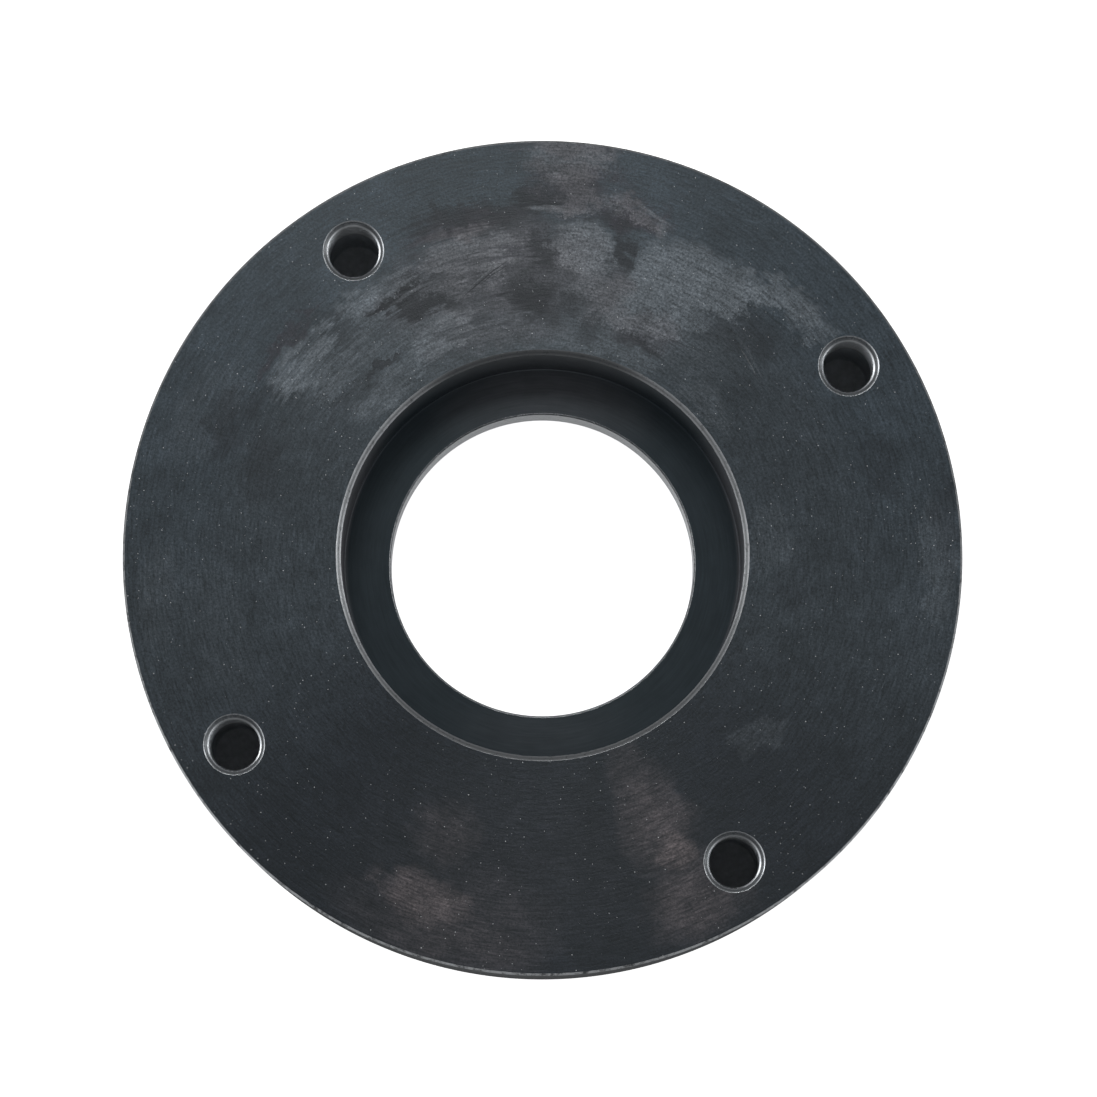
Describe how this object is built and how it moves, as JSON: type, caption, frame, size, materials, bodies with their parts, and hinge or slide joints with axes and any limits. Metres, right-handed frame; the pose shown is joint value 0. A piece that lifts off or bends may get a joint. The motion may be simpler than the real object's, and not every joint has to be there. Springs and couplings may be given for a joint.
{
  "type": "toilet flange",
  "caption": "Round steel floor flange plate with a deep stepped seat, a through bore and blind tapped holes around the rim.",
  "frame": {"origin": "centre of the flat back face, on the axis of the bore", "axes": "+Z along the bore, out of the front face with the stepped seat; the tapped holes lie on the diagonals between +X and +Y"},
  "size_m": [0.178, 0.178, 0.031],
  "materials": {
    "blackened_steel": "turned and blackened, satin, with bright worn edges"
  },
  "bodies": {
    "root": {"flange_body": "blackened_steel"}
  },
  "joints": []
}
